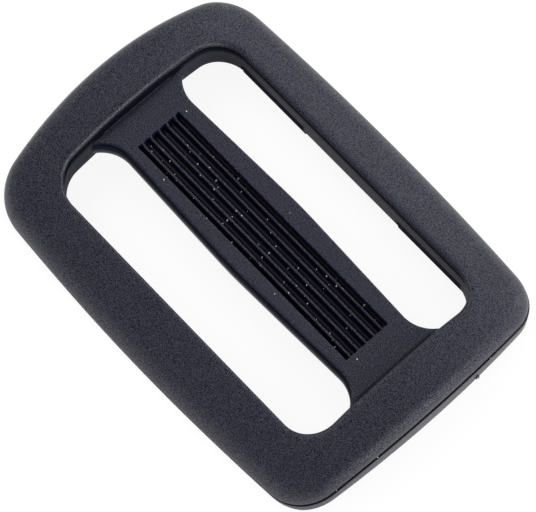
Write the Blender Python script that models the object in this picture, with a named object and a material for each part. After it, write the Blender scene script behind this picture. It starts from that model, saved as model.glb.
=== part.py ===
# Strap slider for 38 mm webbing: one arched plastic moulding with two slots and a grip bar.
# X runs along the slots, Y across them, Z up from the two pads that it rests on.
import math

import bmesh
import bpy

MM = 0.001

# Webbing and the window it passes through
WEBBING_WIDTH = 38.0 * MM
WEBBING_PLAY = 0.8 * MM
SLOT_GAP = 7.05 * MM
WINDOW_CORNER = 3.3 * MM
WINDOW_BOW = 0.02 * MM
RIM_RADIUS = 0.7 * MM
INNER_DRAFT = 0.05 * MM

# Frame around the window
END_WALL = 5.7 * MM
SIDE_WALL = 5.8 * MM
CORNER_RADIUS = 5.0 * MM
END_BOW = 1.95 * MM
SIDE_BOW = 1.15 * MM
SHOULDER_RADIUS = 1.7 * MM
OUTER_DRAFT = 0.05 * MM

# Arch across the width
ARCH_RISE = 5.7 * MM
EDGE_LAND = 0.3 * MM
CROWN_THICKNESS = 4.6 * MM
PAD_WIDTH = 2.0 * MM

# Feet under the long sides, two to a side, set back a little from the window
FOOT_GAP = 14.0 * MM
FOOT_LENGTH = 9.5 * MM
FOOT_SETBACK = 0.1 * MM
FOOT_EDGE = 0.35 * MM

# Bar between the slots, widest at the middle and flared into the ends
BAR_WIDTH = 9.7 * MM
BAR_TAPER = 0.46 * MM
BAR_RECESS = 1.6 * MM
BAR_THICKNESS = 2.9 * MM
BAR_TOP_EDGE = 0.5 * MM
BAR_LOW_EDGE = 0.6 * MM
FLARE_RADIUS = 4.0 * MM
FLARE_RUN = 3.6 * MM
BAR_FILLET = 0.2 * MM

# Grip: a shallow pocket in the bar with low ridges along it
GRIP_MARGIN = 0.3 * MM
GRIP_POCKET = 0.4 * MM
RIDGE_COUNT = 5
RIDGE_PITCH = 1.08 * MM
RIDGE_HEIGHT = 0.5 * MM
RIDGE_TOP = 0.24 * MM
RIDGE_FOOT = 0.44 * MM
GRIP_EDGE = 0.71 * MM

# Overlaps that let one solid join or cut another cleanly
JOIN_DEPTH = 1.0 * MM
CUT_PAST = 2.0 * MM
ROOT_DEPTH = 0.3 * MM

# Facets
END_STEPS = 7
CORNER_STEPS = 7
SIDE_STEPS = 7
ROUND_STEPS = 4
ARCH_FACETS = 160

# Sizes that follow from the ones above
WINDOW_HALF_LENGTH = (WEBBING_WIDTH + WEBBING_PLAY) / 2
WINDOW_HALF_WIDTH = BAR_WIDTH / 2 + SLOT_GAP
HALF_LENGTH = WINDOW_HALF_LENGTH + END_WALL
HALF_WIDTH = WINDOW_HALF_WIDTH + SIDE_WALL
HEIGHT = ARCH_RISE + SHOULDER_RADIUS + EDGE_LAND
UNDER_RISE = HEIGHT - CROWN_THICKNESS
BAR_TOP = HEIGHT - BAR_RECESS
BAR_NECK = WINDOW_HALF_LENGTH - FLARE_RUN
GRIP_HALF_LENGTH = BAR_NECK - GRIP_MARGIN
GRIP_HALF_WIDTH = (RIDGE_COUNT - 1) / 2 * RIDGE_PITCH + GRIP_EDGE
GRIP_FLOOR = BAR_TOP - GRIP_POCKET - RIDGE_HEIGHT


def bow_radius(half_chord, rise):
    return (half_chord ** 2 + rise ** 2) / (2 * rise)


ARCH_RADIUS = bow_radius(HALF_WIDTH, ARCH_RISE)
UNDER_RADIUS = bow_radius(HALF_WIDTH - PAD_WIDTH, UNDER_RISE)


def crown(y):
    return HEIGHT - ARCH_RADIUS + math.sqrt(ARCH_RADIUS ** 2 - y ** 2)


def underside(y):
    return UNDER_RISE - UNDER_RADIUS + math.sqrt(UNDER_RADIUS ** 2 - y ** 2)


def outline_arcs(half_length, half_width, end_bow, side_bow, corner):
    # A quarter of a bowed rectangle: end arc, corner arc and side arc, each tangent to the next.
    end_radius = bow_radius(half_width, end_bow)
    side_radius = bow_radius(half_length, side_bow)
    end_x = half_length - end_radius
    side_y = half_width - side_radius
    reach_end = end_radius - corner
    reach_side = side_radius - corner
    span = math.hypot(end_x, side_y)
    along = (reach_end ** 2 - reach_side ** 2 + span ** 2) / (2 * span)
    aside = math.sqrt(reach_end ** 2 - along ** 2)
    way_x = -end_x / span
    way_y = side_y / span
    corner_x = end_x + along * way_x - aside * way_y
    corner_y = along * way_y + aside * way_x
    turn_end = math.atan2(corner_y, corner_x - end_x)
    turn_side = math.atan2(corner_y - side_y, corner_x)
    return (
        (end_x, 0.0, end_radius, 0.0, turn_end, END_STEPS),
        (corner_x, corner_y, corner, turn_end, turn_side, CORNER_STEPS),
        (0.0, side_y, side_radius, turn_side, math.pi / 2, SIDE_STEPS),
    )


def outline_points(arcs, offset):
    # The whole outline, moved outward by the offset; every offset gives matching points.
    quarter = []
    for centre_x, centre_y, radius, start, stop, steps in arcs:
        for step in range(steps):
            angle = start + (stop - start) * step / steps
            x = centre_x + (radius + offset) * math.cos(angle)
            y = centre_y + (radius + offset) * math.sin(angle)
            quarter.append((x, y))
    top = arcs[-1]
    quarter.append((0.0, top[1] + top[2] + offset))
    left = [(-x, y) for x, y in reversed(quarter[:-1])]
    half = quarter + left
    lower = [(x, -y) for x, y in reversed(half[1:-1])]
    return half + lower


def new_object(name, mesh, collection):
    item = bpy.data.objects.new(name, mesh)
    collection.objects.link(item)
    return item


def as_cutter(item):
    item.hide_render = True
    item.display_type = 'WIRE'
    return item


def loft(name, loops, closed):
    # Joins loops of matching points; a closed loft returns to its first loop, an open one is capped.
    shape = bmesh.new()
    rings = [[shape.verts.new(point) for point in loop] for loop in loops]
    pairs = list(zip(rings, rings[1:]))
    if closed:
        pairs.append((rings[-1], rings[0]))
    else:
        shape.faces.new(rings[0])
        shape.faces.new(rings[-1])
    for lower, upper in pairs:
        for index in range(len(lower)):
            after = (index + 1) % len(lower)
            shape.faces.new((lower[index], lower[after], upper[after], upper[index]))
    bmesh.ops.recalc_face_normals(shape, faces=shape.faces)
    mesh = bpy.data.meshes.new(name)
    shape.to_mesh(mesh)
    shape.free()
    return mesh


def frame_mesh():
    # The ring runs from its outer foot over the shoulder and the rim to its inner foot.
    frame = outline_arcs(HALF_LENGTH, HALF_WIDTH, END_BOW, SIDE_BOW, CORNER_RADIUS)
    window = outline_arcs(WINDOW_HALF_LENGTH, WINDOW_HALF_WIDTH, WINDOW_BOW, WINDOW_BOW, WINDOW_CORNER)
    quarter_turns = [math.pi / 2 * step / ROUND_STEPS for step in range(ROUND_STEPS + 1)]
    loops = [[(x, y, 0.0) for x, y in outline_points(frame, -OUTER_DRAFT)]]
    for angle in reversed(quarter_turns):
        inset = SHOULDER_RADIUS * (1 - math.sin(angle))
        drop = SHOULDER_RADIUS * (1 - math.cos(angle))
        loops.append([(x, y, crown(y) - drop) for x, y in outline_points(frame, -inset)])
    for angle in quarter_turns:
        spread = RIM_RADIUS * (1 - math.sin(angle))
        drop = RIM_RADIUS * (1 - math.cos(angle))
        loops.append([(x, y, crown(y) - drop) for x, y in outline_points(window, spread)])
    loops.append([(x, y, 0.0) for x, y in outline_points(window, -INNER_DRAFT)])
    return loft('slider_body', loops, True)


def bar_section(x, half_width, top):
    # A cross-section of the bar with rounded edges, seen along X.
    bottom = BAR_TOP - BAR_THICKNESS
    right = []
    for radius, centre_z, start in ((BAR_TOP_EDGE, top - BAR_TOP_EDGE, math.pi / 2),
                                    (BAR_LOW_EDGE, bottom + BAR_LOW_EDGE, 0.0)):
        for step in range(ROUND_STEPS + 1):
            angle = start - math.pi / 2 * step / ROUND_STEPS
            y = half_width - radius + radius * math.cos(angle)
            right.append((x, y, centre_z + radius * math.sin(angle)))
    left = [(x, -y, z) for x, y, z in reversed(right)]
    return right + left


def bar_mesh():
    neck = BAR_WIDTH / 2 - BAR_TAPER
    stations = [(0.0, BAR_WIDTH / 2, BAR_TOP), (BAR_NECK, neck, BAR_TOP)]
    flare_turn = math.asin(FLARE_RUN / FLARE_RADIUS)
    fillet_start = WINDOW_HALF_LENGTH - BAR_FILLET
    for step in range(1, 3 * ROUND_STEPS + 1):
        angle = flare_turn * step / (3 * ROUND_STEPS)
        x = BAR_NECK + FLARE_RADIUS * math.sin(angle)
        into_fillet = min(max(x - fillet_start, 0.0), BAR_FILLET)
        rise = BAR_FILLET - math.sqrt(BAR_FILLET ** 2 - into_fillet ** 2)
        stations.append((x, neck + FLARE_RADIUS * (1 - math.cos(angle)), BAR_TOP + rise))
    end_x, end_width, end_top = stations[-1]
    stations.append((end_x + JOIN_DEPTH, end_width, end_top))
    mirrored = [(-x, half_width, top) for x, half_width, top in reversed(stations[1:])]
    return loft('bar_blank', [bar_section(*station) for station in mirrored + stations], False)


def grip_pocket_mesh():
    # A plain block that sinks the grip's floor into the bar.
    shape = bmesh.new()
    bmesh.ops.create_cube(shape, size=1.0)
    depth = BAR_TOP + CUT_PAST - GRIP_FLOOR
    bmesh.ops.scale(shape, verts=shape.verts, vec=(2 * GRIP_HALF_LENGTH, 2 * GRIP_HALF_WIDTH, depth))
    bmesh.ops.translate(shape, verts=shape.verts, vec=(0.0, 0.0, GRIP_FLOOR + depth / 2))
    mesh = bpy.data.meshes.new('grip_pocket')
    shape.to_mesh(mesh)
    shape.free()
    return mesh


def ridges_mesh():
    # Each ridge is a block along X with a narrower top, rooted in the pocket's floor and ends.
    shape = bmesh.new()
    length = 2 * (GRIP_HALF_LENGTH + ROOT_DEPTH)
    height = RIDGE_HEIGHT + ROOT_DEPTH
    for ridge in range(RIDGE_COUNT):
        y = (ridge - (RIDGE_COUNT - 1) / 2) * RIDGE_PITCH
        verts = bmesh.ops.create_cube(shape, size=1.0)['verts']
        bmesh.ops.scale(shape, verts=verts, vec=(length, RIDGE_FOOT, height))
        upper = [vert for vert in verts if vert.co.z > 0]
        bmesh.ops.scale(shape, verts=upper, vec=(1.0, RIDGE_TOP / RIDGE_FOOT, 1.0))
        bmesh.ops.translate(shape, verts=verts, vec=(0.0, y, GRIP_FLOOR - ROOT_DEPTH + height / 2))
    mesh = bpy.data.meshes.new('ridges')
    shape.to_mesh(mesh)
    shape.free()
    return mesh


def feet_mesh():
    # Each foot is a block that fills the arch down to the pads, with its edge at the slot rounded.
    shape = bmesh.new()
    face_y = WINDOW_HALF_WIDTH + FOOT_SETBACK
    depth = HALF_WIDTH - PAD_WIDTH + ROOT_DEPTH - face_y
    height = underside(face_y) + JOIN_DEPTH
    for way_x in (-1, 1):
        for way_y in (-1, 1):
            verts = bmesh.ops.create_cube(shape, size=1.0)['verts']
            bmesh.ops.scale(shape, verts=verts, vec=(FOOT_LENGTH, depth, height))
            place = (way_x * (FOOT_GAP + FOOT_LENGTH) / 2, way_y * (face_y + depth / 2), height / 2)
            bmesh.ops.translate(shape, verts=verts, vec=place)
            low = [vert for vert in verts if vert.co.z < height / 2]
            slot_side = set(sorted(low, key=lambda vert: abs(vert.co.y))[:2])
            edges = [edge for edge in shape.edges if set(edge.verts) == slot_side]
            bmesh.ops.bevel(shape, geom=edges, offset=FOOT_EDGE, segments=ROUND_STEPS,
                            profile=0.5, affect='EDGES')
    mesh = bpy.data.meshes.new('feet')
    shape.to_mesh(mesh)
    shape.free()
    return mesh


def arch_cutter(collection):
    # A cylinder along X hollows the underside and leaves a flat pad along each long side.
    bpy.ops.mesh.primitive_cylinder_add(
        vertices=ARCH_FACETS, radius=UNDER_RADIUS, depth=2 * (HALF_LENGTH + CUT_PAST),
        location=(0.0, 0.0, UNDER_RISE - UNDER_RADIUS),
        rotation=(0.0, math.pi / 2, 0.0))
    item = bpy.context.object
    item.name = 'arch_cutter'
    for holder in list(item.users_collection):
        holder.objects.unlink(item)
    collection.objects.link(item)
    return as_cutter(item)


def black_plastic():
    material = bpy.data.materials.new('black_plastic')
    material.use_nodes = True
    shader = material.node_tree.nodes['Principled BSDF']
    shader.inputs['Base Color'].default_value = (0.035, 0.036, 0.040, 1.0)
    shader.inputs['Roughness'].default_value = 0.55
    shader.inputs['Metallic'].default_value = 0.0
    return material


def add_boolean(item, name, operation, other):
    step = item.modifiers.new(name, 'BOOLEAN')
    step.operation = operation
    step.solver = 'EXACT'
    step.object = other


def build():
    for item in list(bpy.data.objects):
        bpy.data.objects.remove(item)
    parts = bpy.data.collections.new('buckle_slider')
    cutters = bpy.data.collections.new('cutters')
    bpy.context.scene.collection.children.link(parts)
    bpy.context.scene.collection.children.link(cutters)
    body = new_object('slider_body', frame_mesh(), parts)
    body.data.materials.append(black_plastic())
    add_boolean(body, 'hollow_underside', 'DIFFERENCE', arch_cutter(cutters))
    feet = as_cutter(new_object('feet', feet_mesh(), cutters))
    add_boolean(body, 'join_feet', 'UNION', feet)
    bar = as_cutter(new_object('bar_blank', bar_mesh(), cutters))
    add_boolean(body, 'join_bar', 'UNION', bar)
    pocket = as_cutter(new_object('grip_pocket', grip_pocket_mesh(), cutters))
    add_boolean(body, 'sink_grip', 'DIFFERENCE', pocket)
    ridges = as_cutter(new_object('ridges', ridges_mesh(), cutters))
    add_boolean(body, 'join_ridges', 'UNION', ridges)
    body.data.shade_smooth()
    body.data.set_sharp_from_angle(angle=math.radians(35))


build()
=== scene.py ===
import math

import bmesh
import bpy
from mathutils import Matrix, Vector


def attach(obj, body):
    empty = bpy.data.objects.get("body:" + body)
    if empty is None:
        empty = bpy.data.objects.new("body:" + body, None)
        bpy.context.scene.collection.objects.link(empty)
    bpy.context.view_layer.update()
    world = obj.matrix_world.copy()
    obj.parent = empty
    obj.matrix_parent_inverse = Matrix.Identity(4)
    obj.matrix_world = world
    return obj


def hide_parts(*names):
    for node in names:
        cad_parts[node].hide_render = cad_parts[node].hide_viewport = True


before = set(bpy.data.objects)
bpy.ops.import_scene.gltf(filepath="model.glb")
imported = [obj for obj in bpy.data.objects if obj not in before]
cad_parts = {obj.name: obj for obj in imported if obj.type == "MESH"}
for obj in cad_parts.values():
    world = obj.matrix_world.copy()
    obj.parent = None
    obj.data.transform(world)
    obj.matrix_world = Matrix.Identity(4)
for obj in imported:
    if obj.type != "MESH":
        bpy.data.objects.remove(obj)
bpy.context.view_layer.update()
bpy.ops.object.select_all(action='DESELECT')  # the CAD nodes come in selected
mm = 0.001
mergeGap = 0.0005  # in millimetres, as are the slider's sizes below


def bowRadius(halfChord, rise):
    return (halfChord ** 2 + rise ** 2) / (2 * rise)


# Outlines: bowed rectangles
outerOutline = {"halfLength": 25.019, "halfWidth": 17.699, "endBow": 1.95, "sideBow": 1.15, "corner": 5.0}
windowOutline = {"halfLength": 19.42, "halfWidth": 11.91, "endBow": 0.02, "sideBow": 0.02, "corner": 3.5}
outlineSteps = {"end": 26, "corner": 22, "side": 34}


def quarterArcs(spec):
    # end, corner and side arcs of one quarter, each tangent to the next
    endRadius = bowRadius(spec["halfWidth"], spec["endBow"])
    sideRadius = bowRadius(spec["halfLength"], spec["sideBow"])
    endX = spec["halfLength"] - endRadius
    sideY = spec["halfWidth"] - sideRadius
    reachEnd = endRadius - spec["corner"]
    reachSide = sideRadius - spec["corner"]
    span = math.hypot(endX, sideY)
    along = (reachEnd ** 2 - reachSide ** 2 + span ** 2) / (2 * span)
    aside = math.sqrt(reachEnd ** 2 - along ** 2)
    cornerX = endX - (along * endX + aside * sideY) / span
    cornerY = (along * sideY - aside * endX) / span
    turnEnd = math.atan2(cornerY, cornerX - endX)
    turnSide = math.atan2(cornerY - sideY, cornerX)
    return (
        (endX, 0.0, endRadius, 0.0, turnEnd, outlineSteps["end"]),
        (cornerX, cornerY, spec["corner"], turnEnd, turnSide, outlineSteps["corner"]),
        (0.0, sideY, sideRadius, turnSide, math.pi / 2, outlineSteps["side"]),
    )


def outlinePoints(spec, offset):
    # the whole outline moved outward by the offset, always the same number of points
    arcs = quarterArcs(spec)
    quarter = []
    for centreX, centreY, radius, start, stop, steps in arcs:
        for step in range(steps):
            angle = start + (stop - start) * step / steps
            quarter.append((centreX + (radius + offset) * math.cos(angle),
                            centreY + (radius + offset) * math.sin(angle)))
    quarter.append((0.0, arcs[2][1] + arcs[2][2] + offset))
    half = quarter + [(-x, y) for x, y in reversed(quarter[:-1])]
    return half + [(x, -y) for x, y in reversed(half[1:-1])]


def extrudeRows(name, rows):
    # a circle pulled from row to row in edit mode, as one would by hand
    bpy.ops.object.select_all(action='DESELECT')
    bpy.ops.mesh.primitive_circle_add(vertices=len(rows[0]), radius=mm)
    piece = bpy.context.object
    piece.name = name
    bpy.ops.object.mode_set(mode='EDIT')
    mesh = bmesh.from_edit_mesh(piece.data)
    order = mesh.verts.layers.int.new("rowOrder")
    for index, vert in enumerate(mesh.verts):
        vert[order] = index
    for number, row in enumerate(rows):
        if number:
            bpy.ops.mesh.extrude_edges_move()
        mesh = bmesh.from_edit_mesh(piece.data)
        order = mesh.verts.layers.int["rowOrder"]
        ring = sorted((vert for vert in mesh.verts if vert.select), key=lambda vert: vert[order])
        for vert, point in zip(ring, row):
            vert.co = Vector(point) * mm
        bmesh.update_edit_mesh(piece.data)
    return piece


def closeMesh(piece):
    # leaves edit mode with doubles merged and faces turned outward
    bpy.ops.mesh.select_all(action='SELECT')
    bpy.ops.mesh.remove_doubles(threshold=mergeGap * mm)
    bpy.ops.mesh.normals_make_consistent(inside=False)
    bpy.ops.object.mode_set(mode='OBJECT')
    if "rowOrder" in piece.data.attributes:
        piece.data.attributes.remove(piece.data.attributes["rowOrder"])
    piece.location = (0, 0, 0)
    return piece


def joinTo(body, other):
    # boolean union, applied, and the added piece removed
    bpy.ops.object.select_all(action='DESELECT')
    body.select_set(True)
    bpy.context.view_layer.objects.active = body
    step = body.modifiers.new("join " + other.name, 'BOOLEAN')
    step.operation = 'UNION'
    step.solver = 'MANIFOLD'
    step.object = other
    bpy.ops.object.modifier_apply(modifier=step.name)
    bpy.data.objects.remove(other)


# Frame: arched ring from its outer foot over shoulder and rim to its inner foot.
# The mould's two halves met a little out of line, so the lower half stands out at one end.
ringForm = {
    "height": 7.7, "archRise": 5.7, "underRise": 3.1, "padWidth": 2.0, "archWidth": 17.7,
    "shoulder": 1.7, "rim": 0.7, "outerDraft": 0.05, "innerDraft": 0.05, "footEdge": 0.15,
    "notch": ((0.0, 0.11), (0.02, 0.05), (0.07, 0.02)),
    "shoulderSteps": 14, "topSteps": 6, "rimSteps": 8, "edgeSteps": 3,
    "outerParts": (0.35, 0.7), "innerParts": (0.25, 0.5, 0.75),
    "underParts": (0.33, 0.67, 1.0), "padLimits": (0.06, 0.94),
}
outerEdge = {"outline": outerOutline, "lower": (0.08, 0.0), "upper": (-0.08, 0.0)}
windowEdge = {"outline": windowOutline, "lower": (0.09, -0.07), "upper": (-0.15, 0.07)}
archRadius = bowRadius(ringForm["archWidth"], ringForm["archRise"])
padStart = ringForm["archWidth"] - ringForm["padWidth"]
underRadius = bowRadius(padStart, ringForm["underRise"])


def crownAt(y):
    return ringForm["height"] - archRadius + math.sqrt(archRadius ** 2 - y ** 2)


def underAt(y):
    if abs(y) >= padStart:
        return 0.0
    return ringForm["underRise"] - underRadius + math.sqrt(underRadius ** 2 - y ** 2)


def undersideRows(inner, outer):
    # from the inner foot out to the outer one, with one row on the inner edge of the pads
    least, most = ringForm["padLimits"]
    rows = []
    for number in range(len(ringForm["underParts"]) + 1):
        row = []
        for a, b in zip(inner, outer):
            pad = most
            if abs(b[1]) > padStart:
                pad = min(max((padStart - abs(a[1])) / (abs(b[1]) - abs(a[1])), least), most)
            parts = [pad * share for share in ringForm["underParts"]] + [(pad + 1) / 2]
            x = a[0] + (b[0] - a[0]) * parts[number]
            y = a[1] + (b[1] - a[1]) * parts[number]
            row.append((x, y, underAt(y)))
        rows.append(row)
    return rows


def ringRows():
    form = ringForm
    notch = form["notch"]
    rows = []

    def addRow(edge, half, offset, heightAt):
        shiftX, shiftY = edge[half]
        points = outlinePoints(edge["outline"], offset)
        rows.append([(x + shiftX, y + shiftY, heightAt(y)) for x, y in points])

    def addFootEdge(edge, wall, way, turns):
        for turn in turns:
            offset = wall - way * form["footEdge"] * (1 - math.sin(turn))
            lift = form["footEdge"] * (1 - math.cos(turn))
            addRow(edge, "lower", offset, lambda y: underAt(y) + lift)

    def addNotch(edge, drop, way, steps):
        # parting line: both halves have a fine rounded edge where they meet
        for half, (depth, away) in steps:
            level = drop + (away if half == "lower" else -away)
            addRow(edge, half, -way * depth, lambda y: crownAt(y) - level)

    quarter = [math.pi / 2 * step / form["edgeSteps"] for step in range(form["edgeSteps"] + 1)]
    climb = [("lower", stop) for stop in notch] + [("upper", stop) for stop in reversed(notch)]

    # outer side, upward
    addFootEdge(outerEdge, -form["outerDraft"], 1, quarter)
    seamLow = form["shoulder"] + notch[0][1]
    for part in form["outerParts"]:
        addRow(outerEdge, "lower", -form["outerDraft"] * (1 - part), lambda y: (
            (underAt(y) + form["footEdge"]) * (1 - part) + (crownAt(y) - seamLow) * part))
    addNotch(outerEdge, form["shoulder"], 1, climb)
    steepest = math.acos(notch[0][1] / form["shoulder"])
    for step in range(1, form["shoulderSteps"] + 1):
        angle = steepest * (1 - step / form["shoulderSteps"])
        drop = form["shoulder"] * (1 - math.cos(angle))
        addRow(outerEdge, "upper", -form["shoulder"] * (1 - math.sin(angle)), lambda y: crownAt(y) - drop)

    # top, from the shoulder in to the rim
    outerTop = rows[-1]
    addRow(windowEdge, "upper", form["rim"], crownAt)
    innerTop = rows.pop()
    for step in range(1, form["topSteps"]):
        part = step / form["topSteps"]
        flat = [(a[0] + (b[0] - a[0]) * part, a[1] + (b[1] - a[1]) * part)
                for a, b in zip(outerTop, innerTop)]
        rows.append([(x, y, crownAt(y)) for x, y in flat])

    # window side, downward
    steepest = math.acos(notch[0][1] / form["rim"])
    for step in range(form["rimSteps"]):
        angle = steepest * step / form["rimSteps"]
        drop = form["rim"] * (1 - math.cos(angle))
        addRow(windowEdge, "upper", form["rim"] * (1 - math.sin(angle)), lambda y: crownAt(y) - drop)
    addNotch(windowEdge, form["rim"], -1, reversed(climb))
    seamLow = form["rim"] + notch[0][1]
    for part in form["innerParts"]:
        addRow(windowEdge, "lower", -form["innerDraft"] * part, lambda y: (
            (underAt(y) + form["footEdge"]) * part + (crownAt(y) - seamLow) * (1 - part)))
    addFootEdge(windowEdge, -form["innerDraft"], -1, reversed(quarter))

    return rows + undersideRows(rows[-1], rows[0]) + [rows[0]]


sliderBody = closeMesh(extrudeRows("sliderBody", ringRows()))
print("frame ring:", len(sliderBody.data.polygons), "faces")

# Feet: low blocks under the long sides, seen through the far slot
footForm = {
    "start": 7.0, "length": 9.5, "face": 12.0, "reach": 16.0, "top": 2.35,
    "slotEdge": 0.35, "slotSteps": 6, "edge": 0.12, "edgeSteps": 3, "near": 0.01,
}


def addFoot(wayX, wayY):
    form = footForm
    depth = form["reach"] - form["face"]
    centre = Vector((wayX * (form["start"] + form["length"] / 2),
                     wayY * (form["face"] + depth / 2), form["top"] / 2))
    bpy.ops.object.select_all(action='DESELECT')
    bpy.ops.mesh.primitive_cube_add(size=1.0, location=centre * mm)
    foot = bpy.context.object
    foot.name = "foot"
    foot.scale = Vector((form["length"], depth, form["top"])) * mm
    bpy.ops.object.transform_apply(location=True, rotation=False, scale=True)
    bpy.ops.object.mode_set(mode='EDIT')
    for slotSide, size, segments in ((True, form["slotEdge"], form["slotSteps"]),
                                     (False, form["edge"], form["edgeSteps"])):
        bpy.ops.mesh.select_all(action='DESELECT')
        mesh = bmesh.from_edit_mesh(foot.data)
        bpy.ops.mesh.select_mode(type='EDGE')
        for edge in mesh.edges:
            middle = (edge.verts[0].co + edge.verts[1].co) / (2 * mm)
            low = middle.z < form["near"]
            atSlot = abs(abs(middle.y) - form["face"]) < form["near"]
            atEnd = abs(abs(middle.x - centre.x) - form["length"] / 2) < form["near"]
            edge.select_set(low and (atSlot if slotSide else atEnd))
        bmesh.update_edit_mesh(foot.data)
        bpy.ops.mesh.bevel(offset=size * mm, segments=segments, profile=0.5, affect='EDGES')
    bpy.ops.mesh.select_mode(type='VERT')
    return closeMesh(foot)


for wayX in (-1, 1):
    for wayY in (-1, 1):
        joinTo(sliderBody, addFoot(wayX, wayY))
print("feet joined:", len(sliderBody.data.polygons), "faces")

# Bar: tapered, flared into the window's ends, with the ridged grip sunk in its top
barForm = {
    "halfWidth": 4.78, "taper": 0.46, "soften": 1.2, "top": 6.1, "low": 3.2,
    "topEdge": 0.3, "seam": 0.45, "notch": ((0.0, 0.06), (0.03, 0.015)), "lowEdge": 0.6,
    "neck": 15.8, "flare": 4.0, "fillet": 0.1, "leastFillet": 0.06, "intoWall": 1.0,
    "flareSteps": 20, "edgeSteps": 7, "topSteps": 4, "lowParts": (0.67, 0.33, 0.0, -0.33, -0.67),
    "stations": (0.6, 1.2, 1.8, 2.5, 3.5, 5.0, 7.0, 9.0, 11.0, 13.0, 14.5),
}
# the grip lies a little off the middle of the bar
gripForm = {
    "shiftX": -0.3, "shiftY": -0.2, "halfLength": 15.55, "halfWidth": 2.83, "wallDraft": 0.05,
    "pitch": 1.08, "ridges": 5, "ridgeTop": 0.11, "ridgeFoot": 0.40, "ridgeDrop": 0.45, "floorDrop": 1.05,
    "rounding": 0.04, "lip": 0.16, "lipSteps": 4, "apron": 0.3, "wallClear": 0.1,
    "rise": (0.06, 0.4), "riseSteps": 4,
    "endFade": ((-0.03, 1.0), (-0.01, 0.75), (0.01, 0.3), (0.04, 0.17),
                (0.08, 0.09), (0.13, 0.03), (0.2, 0.0)),
}
longestCut = 0.48  # share of a side that one rounded corner may take


def barHalfWidth(x):
    form = barForm
    soft = math.hypot(min(x, form["neck"]), form["soften"]) - form["soften"]
    full = math.hypot(form["neck"], form["soften"]) - form["soften"]
    width = form["halfWidth"] - form["taper"] * soft / full
    into = min(max(x - form["neck"], 0.0), windowOutline["halfLength"] - form["neck"])
    return width + form["flare"] - math.sqrt(form["flare"] ** 2 - into ** 2)


def filletRise(x, y):
    # the fillet shrinks toward the flare's corners, so that it always ends under the rim
    form = barForm
    room = crownAt(y) - ringForm["rim"] - form["top"]
    radius = min(max(room, form["leastFillet"]), form["fillet"])
    into = min(max(x - (windowOutline["halfLength"] - radius), 0.0), radius)
    return radius - math.sqrt(radius ** 2 - into ** 2)


def roundedLine(corners, cuts, steps):
    # a line of points with each inner corner rounded by its own cut
    line = [Vector(corners[0])]
    for number in range(1, len(corners) - 1):
        corner = Vector(corners[number])
        back = Vector(corners[number - 1]) - corner
        ahead = Vector(corners[number + 1]) - corner
        cut = min(cuts[number], back.length * longestCut, ahead.length * longestCut)
        start = corner + back.normalized() * cut
        end = corner + ahead.normalized() * cut
        for step in range(steps + 1):
            t = step / steps
            line.append(start * (1 - t) ** 2 + corner * 2 * t * (1 - t) + end * t ** 2)
    line.append(Vector(corners[-1]))
    return line


def gripLine():
    # (y, depth) across the grip from lip to lip: side walls, grooves and ridges
    form = gripForm
    edge = form["halfWidth"]
    foot = edge - form["wallDraft"]
    apron = edge + form["apron"]
    corners = [(-apron, 0.0), (-edge, 0.0), (-foot, form["floorDrop"])]
    cuts = [0.0, form["lip"], form["rounding"]]
    for ridge in range(form["ridges"]):
        middle = (ridge - (form["ridges"] - 1) / 2) * form["pitch"]
        for aside, depth in ((-form["ridgeFoot"], form["floorDrop"]), (-form["ridgeTop"], form["ridgeDrop"]),
                             (form["ridgeTop"], form["ridgeDrop"]), (form["ridgeFoot"], form["floorDrop"])):
            corners.append((middle + aside, depth))
            cuts.append(form["rounding"])
    corners += [(foot, form["floorDrop"]), (edge, 0.0), (apron, 0.0)]
    cuts += [form["rounding"], form["lip"], 0.0]
    return [(y + form["shiftY"], depth) for y, depth in roundedLine(corners, cuts, form["lipSteps"])]


def gripFade(x):
    # 1 inside the grip, 0 beyond the rounded lips at its two ends
    beyond = abs(x - gripForm["shiftX"]) - gripForm["halfLength"]
    stops = gripForm["endFade"]
    if beyond <= stops[0][0]:
        return 1.0
    for (low, high), (nextLow, nextHigh) in zip(stops, stops[1:]):
        if beyond <= nextLow:
            return high + (nextHigh - high) * (beyond - low) / (nextLow - low)
    return 0.0


def ridgeRise(x):
    # at one end the ridges rise into the bar's top, so that the grip ends there in scallops
    inside = x - gripForm["shiftX"] + gripForm["halfLength"]
    low, high = gripForm["rise"]
    return min(max((high - inside) / (high - low), 0.0), 1.0)


def gripDepth(x, y, depth):
    form = gripForm
    if abs(y - form["shiftY"]) < form["halfWidth"] - form["wallDraft"] - form["wallClear"]:
        share = (form["floorDrop"] - depth) / (form["floorDrop"] - form["ridgeDrop"])
        depth -= form["ridgeDrop"] * ridgeRise(x) * max(share, 0.0)
    return depth * gripFade(x)


gripPoints = gripLine()


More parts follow.
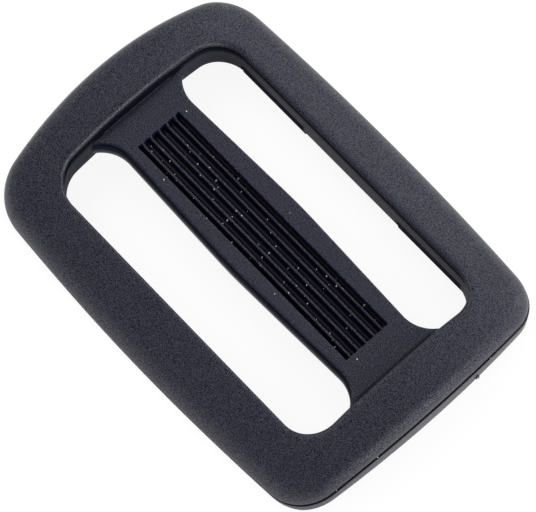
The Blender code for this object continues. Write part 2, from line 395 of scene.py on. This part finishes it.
def barSection(x):
    form = barForm
    half = barHalfWidth(abs(x))
    flat = half - form["topEdge"]
    left = gripPoints[0][0]
    right = gripPoints[-1][0]
    first = windowEdge["upper"][1] - flat
    last = windowEdge["upper"][1] + flat
    steps = form["topSteps"]
    top = [(first + (left - first) * step / steps, 0.0) for step in range(1, steps)]
    top += gripPoints
    top += [(right + (last - right) * step / steps, 0.0) for step in range(1, steps)]
    section = [(x, y, form["top"] + filletRise(abs(x), y) - gripDepth(x, y, depth)) for y, depth in top]
    topZ = form["top"] + filletRise(abs(x), flat)
    seamZ = topZ - form["seam"]
    turns = [math.pi / 2 * step / form["edgeSteps"] for step in range(form["edgeSteps"] + 1)]
    upper = [(flat + form["topEdge"] * math.sin(turn), topZ - form["topEdge"] * (1 - math.cos(turn)))
             for turn in turns]
    upper += [(half - depth, seamZ + away) for depth, away in form["notch"]]
    lower = [(half - depth, seamZ - away) for depth, away in reversed(form["notch"])]
    lower += [(half - form["lowEdge"] * (1 - math.cos(turn)),
               form["low"] + form["lowEdge"] * (1 - math.sin(turn))) for turn in turns]
    shift = windowEdge["lower"][1]
    section += [(x, y - shift, z) for y, z in upper]
    section += [(x, y + shift, z) for y, z in lower]
    section += [(x, (half - form["lowEdge"]) * part + shift, form["low"]) for part in form["lowParts"]]
    section += [(x, shift - y, z) for y, z in reversed(lower)]
    section += [(x, -shift - y, z) for y, z in reversed(upper)]
    return section


def barStations():
    form = barForm
    grip = gripForm
    xs = [0.0]
    for x in form["stations"]:
        xs += [-x, x]
    for beyond, _ in grip["endFade"]:
        reach = grip["halfLength"] + beyond
        xs += [grip["shiftX"] - reach, grip["shiftX"] + reach]
    low, high = grip["rise"]
    steps = grip["riseSteps"]
    xs += [grip["shiftX"] - grip["halfLength"] + low + (high - low) * step / steps for step in range(steps + 1)]
    run = windowOutline["halfLength"] - form["neck"]
    for step in range(form["flareSteps"] + 1):
        x = form["neck"] + run * step / form["flareSteps"]
        xs += [-x, x]
    end = windowOutline["halfLength"] + form["intoWall"]
    return sorted(xs + [-end, end])


def addBar():
    bar = extrudeRows("bar", [barSection(x) for x in barStations()])
    bpy.ops.mesh.edge_face_add()  # far end cap, then the near one
    bpy.ops.mesh.select_all(action='DESELECT')
    mesh = bmesh.from_edit_mesh(bar.data)
    for edge in mesh.edges:
        edge.select_set(edge.is_boundary)
    bmesh.update_edit_mesh(bar.data)
    bpy.ops.mesh.edge_face_add()
    return closeMesh(bar)


joinTo(sliderBody, addBar())
print("bar joined:", len(sliderBody.data.polygons), "faces")

# Gate: the torn stub and its spike on the lower wall at one end
gateForm = {
    "y": 6.1, "wall": 24.88, "stub": (0.36, 0.4, 0.42), "stubAt": (-0.09, 0.0, 3.15),
    "rag": 0.03, "cuts": 3, "seed": 4,
    "spikeAt": (0.02, 0.1, 2.83), "spikeRadius": 0.1, "spikeTip": 0.02, "spikeSides": 7,
    "spikeLength": 0.3, "spikeTilt": 105.0,
    "tornColour": (0.2, 0.2, 0.205, 1.0), "tornFrom": 24.9, "tornReach": 0.4, "tornTop": 3.5,
}


def addGate():
    form = gateForm
    place = Vector((form["wall"], form["y"], 0.0))
    bpy.ops.object.select_all(action='DESELECT')
    bpy.ops.mesh.primitive_cube_add(size=1.0, location=(place + Vector(form["stubAt"])) * mm)
    stub = bpy.context.object
    stub.name = "gateStub"
    stub.scale = Vector(form["stub"]) * mm
    bpy.ops.object.transform_apply(location=True, rotation=False, scale=True)
    bpy.ops.object.mode_set(mode='EDIT')
    bpy.ops.mesh.subdivide(number_cuts=form["cuts"])
    bpy.ops.transform.vertex_random(offset=form["rag"] * mm, seed=form["seed"])
    joinTo(sliderBody, closeMesh(stub))
    bpy.ops.object.select_all(action='DESELECT')
    bpy.ops.mesh.primitive_cone_add(
        vertices=form["spikeSides"], radius1=form["spikeRadius"] * mm, radius2=form["spikeTip"] * mm,
        depth=form["spikeLength"] * mm, location=(place + Vector(form["spikeAt"])) * mm,
        rotation=(0, math.radians(form["spikeTilt"]), 0))
    spike = bpy.context.object
    spike.name = "gateSpike"
    bpy.ops.object.transform_apply(location=True, rotation=True, scale=False)
    bpy.ops.object.mode_set(mode='EDIT')
    joinTo(sliderBody, closeMesh(spike))


addGate()
print("gate joined:", len(sliderBody.data.polygons), "faces")

smoothAngle = 24.0
bpy.ops.object.select_all(action='DESELECT')
sliderBody.select_set(True)
bpy.context.view_layer.objects.active = sliderBody
bpy.ops.object.mode_set(mode='EDIT')
closeMesh(sliderBody)
bpy.ops.object.shade_smooth_by_angle(angle=math.radians(smoothAngle))


# Node helpers
def feed(tree, socket, value):
    # another node's output is wired to the socket, a plain value is set on it
    if isinstance(value, bpy.types.NodeSocket):
        tree.links.new(value, socket)
    else:
        socket.default_value = value


def mathNode(tree, kind, first, second=0.0):
    node = tree.nodes.new("ShaderNodeMath")
    node.operation = kind
    feed(tree, node.inputs[0], first)
    feed(tree, node.inputs[1], second)
    return node.outputs[0]


def separated(tree, vector):
    node = tree.nodes.new("ShaderNodeSeparateXYZ")
    feed(tree, node.inputs[0], vector)
    return node.outputs


# Black plastic: fine grain, worn edges, glossy grooves darkened by painted shade, painted shade along the
# parting lines and in the bar's end corners, and a little lint in the grip
plasticLook = {
    "dark": (0.0062, 0.0060, 0.0218, 1.0), "light": (0.0088, 0.0082, 0.0288, 1.0),
    # shade: share of the colour's brightness kept where shade is painted in (grooves, parting lines, the bar's
    # end corners); creaseShade: how strongly the corners get that painted shade
    "patchScale": 160.0, "patchDetail": 3.0, "shade": 0.3, "creaseShade": 0.6,
    "roughness": 0.60, "roughnessSpread": 0.08, "gloss": 0.5, "sheen": 0.06, "sheenRoughness": 0.45,
    "wear": 0.42, "rimWear": 0.62, "wornGloss": 0.5, "farGloss": 0.9, "wornPower": 4.0, "wornGrain": 0.25,
    "grainScale": 9000.0, "grainDetail": 2.0, "grainMiddle": 0.5, "grainContrast": 6.5, "grainHeight": 0.04,
    "fineScale": 15000.0, "fineDetail": 1.0, "fineShare": 0.4, "smoothGrain": 0.35,
}
# finishes by zone, each laid over the ones before it
finishes = {
    "innerWall": {"roughness": 0.45, "gloss": 0.5, "sheen": 0.0},
    "endWall": {"roughness": 0.25, "gloss": 0.25, "sheen": 0.0},
    "outerWall": {"roughness": 0.25, "gloss": 0.6, "sheen": 0.08},
    "barSide": {"roughness": 0.85, "gloss": 0.2, "sheen": 0.0},
    "barLow": {"roughness": 0.35, "gloss": 1.0, "sheen": 0.3},
    "seam": {"roughness": 0.2, "gloss": 0.1, "sheen": 0.0},
    "groove": {"roughness": 0.18, "gloss": 0.2, "sheen": 0.0},
    "crease": {"roughness": 0.5, "gloss": 0.1, "sheen": 0.0},
    "foot": {"roughness": 0.8, "gloss": 0.1, "sheen": 0.0},
}
# where the zones lie
zoneForm = {
    "midX": 22.3, "midY": 14.8, "steepBelow": 0.5, "grooveInset": 0.03, "grooveFloor": 1.0,
    "barInset": 0.2, "barReach": 7.0, "barLine": 0.06, "lineReach": 0.1, "lineDrop": 0.22,
    "barLowFrom": 4.8, "barLowRun": 0.9, "footReach": 0.5, "footOver": 0.2,
    "creaseFrom": 18.75, "creaseRun": 0.3, "creaseSide": 6.5, "creaseFade": 2.0, "creaseReach": 0.15,
    "farFrom": 12.0, "farCrease": 0.3,
}
lintLook = {
    "colour": (0.75, 0.75, 0.78, 1.0), "scale": 1500.0, "leastRadius": 0.035, "spread": 0.075,
    "uneven": 0.12, "unevenScale": 5000.0, "share": 0.2, "shareBeside": 0.03, "shareOnLine": 0.12,
    "reachX": 17.5, "reachY": 4.0, "low": 4.9, "leastLevel": 0.3,
}


def blackPlastic():
    material = bpy.data.materials.new("blackPlastic")
    material.use_nodes = True
    tree = material.node_tree
    nodes = tree.nodes
    shader = nodes["Principled BSDF"]
    place = nodes.new("ShaderNodeTexCoord")
    alongX, alongY, alongZ = separated(tree, place.outputs["Object"])
    look = plasticLook
    zone = zoneForm

    def maths(kind, first, second=0.0):
        return mathNode(tree, kind, first, second)

    def allOf(*masks):
        product = masks[0]
        for mask in masks[1:]:
            product = maths('MULTIPLY', product, mask)
        return product

    def outside(mask):
        return maths('SUBTRACT', 1.0, mask)

    def size(value):
        return maths('ABSOLUTE', value)

    def clamped(value):
        return maths('MINIMUM', maths('MAXIMUM', value, 0.0), 1.0)

    def within(value, centre, reach):
        return maths('LESS_THAN', size(maths('SUBTRACT', value, centre * mm)), reach * mm)

    def under(value, limit):
        return maths('LESS_THAN', value, limit * mm)

    def over(value, limit):
        return maths('GREATER_THAN', value, limit * mm)

    def noise(scale, detail):
        node = nodes.new("ShaderNodeTexNoise")
        node.inputs["Scale"].default_value = scale
        node.inputs["Detail"].default_value = detail
        feed(tree, node.inputs["Vector"], place.outputs["Object"])
        return node.outputs["Fac"]

    def blend(share, first, second):
        node = nodes.new("ShaderNodeMix")
        for number, value in ((0, share), (2, first), (3, second)):
            feed(tree, node.inputs[number], value)
        return node.outputs[0]

    def blendColour(share, first, second):
        node = nodes.new("ShaderNodeMix")
        node.data_type = 'RGBA'
        for name, value in (("Factor", share), ("A", first), ("B", second)):
            feed(tree, node.inputs[name], value)
        return node.outputs["Result"]

    # the grooves are smoother than the grained faces; below, painted shade also darkens their colour
    inGrip = allOf(within(alongX, gripForm["shiftX"], gripForm["halfLength"]),
                   within(alongY, gripForm["shiftY"], gripForm["halfWidth"]))
    grooveTop = barForm["top"] - gripForm["ridgeDrop"] - zone["grooveInset"]
    groove = allOf(inGrip, under(alongZ, grooveTop), over(alongZ, barForm["low"] + zone["grooveFloor"]))

    # below the parting line, which follows the arch, the walls are smoother
    level = size(separated(tree, place.outputs["Normal"])[2])
    steep = maths('LESS_THAN', level, zone["steepBelow"])
    fromMiddle = maths('MULTIPLY', alongY, alongY)
    arch = maths('SQRT', maths('SUBTRACT', (archRadius * mm) ** 2, fromMiddle))
    crown = maths('ADD', arch, (ringForm["height"] - archRadius) * mm)
    outer = maths('MAXIMUM', over(size(alongX), zone["midX"]), over(size(alongY), zone["midY"]))
    shoulderMore = (ringForm["shoulder"] - ringForm["rim"]) * mm
    seamDrop = maths('ADD', ringForm["rim"] * mm, maths('MULTIPLY', outer, shoulderMore))
    fromSeam = maths('SUBTRACT', alongZ, maths('SUBTRACT', crown, seamDrop))
    below = allOf(under(fromSeam, 0), steep)
    outerWall = allOf(below, outer)
    innerWall = maths('SUBTRACT', below, outerWall)
    besideBar = within(alongY, 0, zone["barReach"])
    endWall = allOf(innerWall, besideBar)

    # the bar's own parting line, and the frame's, which is wider on the window's side; painted shade darkens
    # the colour along both
    onBar = allOf(within(alongX, 0, windowOutline["halfLength"] - zone["barInset"]), besideBar)
    barSeam = barForm["top"] - barForm["seam"]
    onBarSeam = allOf(onBar, within(alongZ, barSeam, zone["barLine"]), outside(inGrip))
    lineDrop = maths('MULTIPLY', outside(outer), zone["lineDrop"] * mm)
    lineReach = maths('ADD', zone["lineReach"] * mm, lineDrop)
    inLine = maths('LESS_THAN', size(maths('ADD', fromSeam, lineDrop)), lineReach)
    inLine = allOf(inLine, outside(onBar))
    seam = maths('MAXIMUM', onBarSeam, inLine)

    # the bar's sides are dull under its parting line and glossy along their lower edge
    barSide = allOf(under(alongZ, barSeam), onBar, steep)
    toLow = maths('SUBTRACT', zone["barLowFrom"] * mm, alongZ)
    barLow = allOf(barSide, clamped(maths('DIVIDE', toLow, zone["barLowRun"] * mm)))

    halfFoot = footForm["length"] / 2
    foot = allOf(within(size(alongX), footForm["start"] + halfFoot, halfFoot),
                 within(size(alongY), footForm["face"], zone["footReach"]),
                 under(alongZ, footForm["top"] + zone["footOver"]))

    # painted shade darkens the bar's top toward the corners at its two ends, where the frame's end walls shade
    # it, and its finish is duller there; the far end is worn shinier and gets less of both
    farRun = zone["creaseFrom"] - zone["farFrom"]
    atFarEnd = clamped(maths('DIVIDE', maths('ADD', alongX, zone["farFrom"] * mm), -farRun * mm))
    toEnd = maths('SUBTRACT', size(alongX), zone["creaseFrom"] * mm)
    toSide = maths('SUBTRACT', zone["creaseSide"] * mm, size(alongY))
    crease = allOf(clamped(maths('DIVIDE', toEnd, zone["creaseRun"] * mm)),
                   clamped(maths('DIVIDE', toSide, zone["creaseFade"] * mm)),
                   outside(outer), within(alongZ, barForm["top"], zone["creaseReach"]),
                   blend(atFarEnd, 1.0, zone["farCrease"]))

    # lint lies on the top of the bar, most of it in the grip, and on the outer parting line
    ragged = nodes.new("ShaderNodeTexNoise")
    ragged.inputs["Scale"].default_value = lintLook["unevenScale"]
    feed(tree, ragged.inputs["Vector"], place.outputs["Object"])
    aside = nodes.new("ShaderNodeVectorMath")
    aside.operation = 'MULTIPLY_ADD'
    feed(tree, aside.inputs[0], ragged.outputs["Color"])
    feed(tree, aside.inputs[1], (lintLook["uneven"] * mm,) * 3)
    feed(tree, aside.inputs[2], place.outputs["Object"])
    cells = nodes.new("ShaderNodeTexVoronoi")
    cells.voronoi_dimensions = '2D'
    cells.inputs["Scale"].default_value = lintLook["scale"]
    feed(tree, cells.inputs["Vector"], aside.outputs[0])
    pick = nodes.new("ShaderNodeSeparateColor")
    feed(tree, pick.inputs[0], cells.outputs["Color"])
    onLine = allOf(inLine, outer)
    moreInGrip = maths('MULTIPLY', inGrip, lintLook["share"] - lintLook["shareBeside"])
    share = maths('ADD', lintLook["shareBeside"], moreInGrip)
    share = maths('ADD', share, maths('MULTIPLY', onLine, lintLook["shareOnLine"]))
    chosen = maths('LESS_THAN', pick.outputs[0], share)
    reach = maths('ADD', lintLook["leastRadius"], maths('MULTIPLY', pick.outputs[1], lintLook["spread"]))
    small = maths('LESS_THAN', cells.outputs["Distance"], reach)
    onTop = allOf(within(alongX, 0, lintLook["reachX"]), within(alongY, 0, lintLook["reachY"]),
                  over(alongZ, lintLook["low"]), maths('GREATER_THAN', level, lintLook["leastLevel"]))
    lint = allOf(chosen, small, maths('MAXIMUM', onTop, onLine))

    # colour: faint patches, painted shade in the grooves, along the parting lines and in the bar's end corners,
    # lint, and the pale tear at the gate
    colour = blendColour(noise(look["patchScale"], look["patchDetail"]), look["dark"], look["light"])
    shaded = maths('MAXIMUM', maths('MAXIMUM', groove, seam), maths('MULTIPLY', crease, look["creaseShade"]))
    dim = nodes.new("ShaderNodeHueSaturation")
    feed(tree, dim.inputs["Value"], outside(maths('MULTIPLY', shaded, 1 - look["shade"])))
    feed(tree, dim.inputs["Color"], colour)
    colour = blendColour(lint, dim.outputs["Color"], lintLook["colour"])
    torn = allOf(over(alongX, gateForm["tornFrom"]), within(alongY, gateForm["y"], gateForm["tornReach"]),
                 under(alongZ, gateForm["tornTop"]))
    feed(tree, shader.inputs["Base Color"], blendColour(torn, colour, gateForm["tornColour"]))

    # finish: grained faces, polished toward the parting line, then the zones' own finishes
    grain = noise(look["grainScale"], look["grainDetail"])
    spread = look["roughnessSpread"]
    worn = maths('MAXIMUM', outside(maths('DIVIDE', fromSeam, seamDrop)), 0.0)
    worn = allOf(maths('SQRT', worn), over(fromSeam, 0))
    rough = maths('ADD', look["roughness"] - spread / 2, maths('MULTIPLY', grain, spread))
    rough = maths('SUBTRACT', rough, allOf(worn, blend(outer, look["rimWear"], look["wear"])))
    speck = maths('MULTIPLY', maths('SUBTRACT', grain, look["grainMiddle"]), look["grainContrast"])
    gloss = maths('MULTIPLY', maths('ADD', 1.0, speck), look["gloss"])
    wornGloss = maths('ADD', look["wornGloss"], maths('MULTIPLY', atFarEnd, look["farGloss"]))
    gloss = maths('ADD', gloss, allOf(maths('POWER', worn, look["wornPower"]), wornGloss))
    onRim = allOf(worn, outside(outer))
    sheen = maths('MULTIPLY', outside(onRim), look["sheen"])
    masks = {
        "innerWall": innerWall, "endWall": endWall, "outerWall": outerWall, "barSide": barSide,
        "barLow": barLow, "seam": seam, "groove": groove, "crease": crease, "foot": foot,
    }
    for name, finish in finishes.items():
        rough = blend(masks[name], rough, finish["roughness"])
        gloss = blend(masks[name], gloss, finish["gloss"])
        sheen = blend(masks[name], sheen, finish["sheen"])
    feed(tree, shader.inputs["Roughness"], rough)
    feed(tree, shader.inputs["Specular IOR Level"], gloss)
    feed(tree, shader.inputs["Sheen Weight"], sheen)
    feed(tree, shader.inputs["Sheen Roughness"], look["sheenRoughness"])

    bump = nodes.new("ShaderNodeBump")
    smooth = maths('MAXIMUM', maths('MAXIMUM', groove, seam), below)
    strength = outside(maths('MULTIPLY', worn, look["wornGrain"]))
    fine = maths('MULTIPLY', noise(look["fineScale"], look["fineDetail"]), look["fineShare"])
    feed(tree, bump.inputs["Distance"], look["grainHeight"] * mm)
    feed(tree, bump.inputs["Strength"], blend(smooth, strength, look["smoothGrain"]))
    feed(tree, bump.inputs["Height"], maths('ADD', grain, fine))
    feed(tree, shader.inputs["Normal"], bump.outputs["Normal"])
    return material


sliderBody.data.materials.clear()
sliderBody.data.materials.append(blackPlastic())
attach(sliderBody, "root")
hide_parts("slider_body")
print("slider body ready")

# Camera: measured from the photograph's view of the slider
cameraView = {
    "aim": (0.0, 0.0, 7.7), "azimuth": -41.06, "elevation": 69.69, "roll": -1.6, "distance": 424.35,
    "imageWidth": 536, "imageHeight": 512, "pixelsPerMm": 9.935, "aimPixel": (264.87, 229.68),
    "sensor": 36.0, "clipStart": 10.0,
}


def addCamera():
    view = cameraView
    data = bpy.data.cameras.new("photoCamera")
    camera = bpy.data.objects.new("photoCamera", data)
    bpy.context.scene.collection.objects.link(camera)
    turn = (Matrix.Rotation(math.radians(view["azimuth"] + 90), 4, 'Z')
            @ Matrix.Rotation(math.radians(90 - view["elevation"]), 4, 'X')
            @ Matrix.Rotation(math.radians(view["roll"]), 4, 'Z'))
    back = turn @ Vector((0, 0, 1))
    camera.matrix_world = Matrix.Translation((Vector(view["aim"]) + back * view["distance"]) * mm) @ turn
    data.sensor_width = view["sensor"]
    data.lens = view["pixelsPerMm"] * view["distance"] * view["sensor"] / view["imageWidth"]
    data.shift_x = (view["imageWidth"] / 2 - view["aimPixel"][0]) / view["imageWidth"]
    data.shift_y = (view["aimPixel"][1] - view["imageHeight"] / 2) / view["imageWidth"]
    data.clip_start = view["clipStart"] * mm
    bpy.context.scene.camera = camera


addCamera()

# Floor and light: a white floor, soft light mostly from the far side and the right.
# The floor and the lamps are in metres, apart from the floor's drop and the clear sizes.
white = (1.0, 1.0, 1.0, 1.0)
stageLook = {
    "floorSize": 6.0, "floorDrop": 0.02, "floorColour": (0.9, 0.9, 0.9, 1.0),
    "shown": 0.88, "shadow": (0.18, 0.18, 0.18, 1.0), "clearX": 28.0, "clearY": 20.5, "room": 0.52,
}
softboxes = {
    "far": {"at": (0.0, 0.66, 0.24), "size": (0.9, 0.4), "power": 2.3},
    "right": {"at": (0.66, 0.1, 0.22), "size": (0.9, 0.44), "power": 2.53},
    "left": {"at": (-0.66, 0.0, 0.24), "size": (0.9, 0.4), "power": 0.46},
    "leftHigh": {"at": (-0.45, 0.0, 0.54), "size": (0.6, 0.4), "power": 1.05},
    "near": {"at": (0.0, -0.66, 0.24), "size": (0.9, 0.4), "power": 0.21},
}


def whiteFloor():
    # the camera sees white with a soft shadow, and so do reflections of what lies around the slider
    material = bpy.data.materials.new("whiteFloor")
    material.use_nodes = True
    tree = material.node_tree
    nodes = tree.nodes
    nodes.remove(nodes["Principled BSDF"])
    paper = nodes.new("ShaderNodeBsdfDiffuse")
    paper.inputs["Color"].default_value = stageLook["floorColour"]
    shadow = nodes.new("ShaderNodeBsdfDiffuse")
    shadow.inputs["Color"].default_value = stageLook["shadow"]
    shown = nodes.new("ShaderNodeEmission")
    shown.inputs["Strength"].default_value = stageLook["shown"]
    both = nodes.new("ShaderNodeAddShader")
    feed(tree, both.inputs[0], shadow.outputs[0])
    feed(tree, both.inputs[1], shown.outputs[0])

    place = nodes.new("ShaderNodeTexCoord")
    alongX, alongY, _ = separated(tree, place.outputs["Object"])
    clearX = mathNode(tree, 'GREATER_THAN', mathNode(tree, 'ABSOLUTE', alongX), stageLook["clearX"] * mm)
    clearY = mathNode(tree, 'GREATER_THAN', mathNode(tree, 'ABSOLUTE', alongY), stageLook["clearY"] * mm)
    path = nodes.new("ShaderNodeLightPath")
    clear = mathNode(tree, 'MAXIMUM', clearX, clearY)
    reflected = mathNode(tree, 'MULTIPLY', path.outputs["Is Glossy Ray"], clear)
    mix = nodes.new("ShaderNodeMixShader")
    feed(tree, mix.inputs[0], mathNode(tree, 'MAXIMUM', path.outputs["Is Camera Ray"], reflected))
    feed(tree, mix.inputs[1], paper.outputs[0])
    feed(tree, mix.inputs[2], both.outputs[0])
    feed(tree, nodes["Material Output"].inputs["Surface"], mix.outputs[0])
    return material


def addFloor():
    bpy.ops.object.select_all(action='DESELECT')
    drop = stageLook["floorDrop"] * mm
    bpy.ops.mesh.primitive_plane_add(size=stageLook["floorSize"], location=(0, 0, -drop))
    floor = bpy.context.object
    floor.name = "floor"
    floor.data.materials.append(whiteFloor())


def addSoftbox(name, box):
    data = bpy.data.lights.new(name, 'AREA')
    data.shape = 'RECTANGLE'
    data.size, data.size_y = box["size"]
    data.energy = box["power"]
    lamp = bpy.data.objects.new(name, data)
    bpy.context.scene.collection.objects.link(lamp)
    lamp.location = box["at"]
    lamp.rotation_euler = (-Vector(box["at"])).to_track_quat('-Z', 'Y').to_euler()


def addRoom():
    world = bpy.data.worlds.new("studio")
    world.use_nodes = True
    tree = world.node_tree
    nodes = tree.nodes
    room = nodes["Background"]
    room.inputs["Color"].default_value = white
    room.inputs["Strength"].default_value = stageLook["room"]
    backdrop = nodes.new("ShaderNodeBackground")
    backdrop.inputs["Color"].default_value = white
    path = nodes.new("ShaderNodeLightPath")
    mix = nodes.new("ShaderNodeMixShader")
    feed(tree, mix.inputs[0], path.outputs["Is Camera Ray"])
    feed(tree, mix.inputs[1], room.outputs[0])
    feed(tree, mix.inputs[2], backdrop.outputs[0])
    feed(tree, nodes["World Output"].inputs["Surface"], mix.outputs[0])
    bpy.context.scene.world = world


addFloor()
for name, box in softboxes.items():
    addSoftbox(name, box)
addRoom()
bpy.context.scene.view_settings.view_transform = 'Standard'
print("stage lit")
